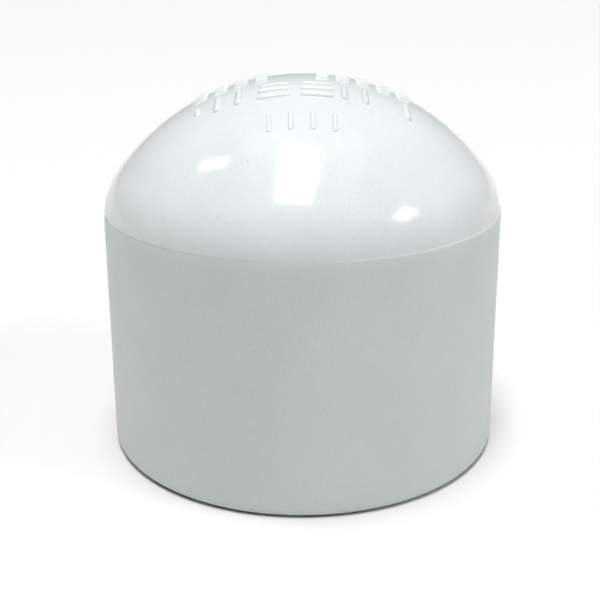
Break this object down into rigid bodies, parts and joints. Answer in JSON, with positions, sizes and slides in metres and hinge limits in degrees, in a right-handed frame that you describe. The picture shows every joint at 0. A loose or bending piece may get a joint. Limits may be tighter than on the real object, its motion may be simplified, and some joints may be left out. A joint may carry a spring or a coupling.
{
  "type": "pipe cap",
  "caption": "Domed one-piece cap with a tapered slip socket, glued over the end of a plastic pressure pipe to close it.",
  "frame": {"origin": "centre of the open mouth, in the plane of the rim that the cap stands on", "axes": "+Z along the cap's axis from the mouth to the dome; the rows of raised bars run along X, and the shortest row is on the -Y side"},
  "size_m": [0.0508, 0.0508, 0.0474],
  "materials": {
    "white_pvc": "rigid white PVC, polished on the dome and satin on the skirt"
  },
  "bodies": {
    "root": {"cap_body": "white_pvc"}
  },
  "joints": []
}
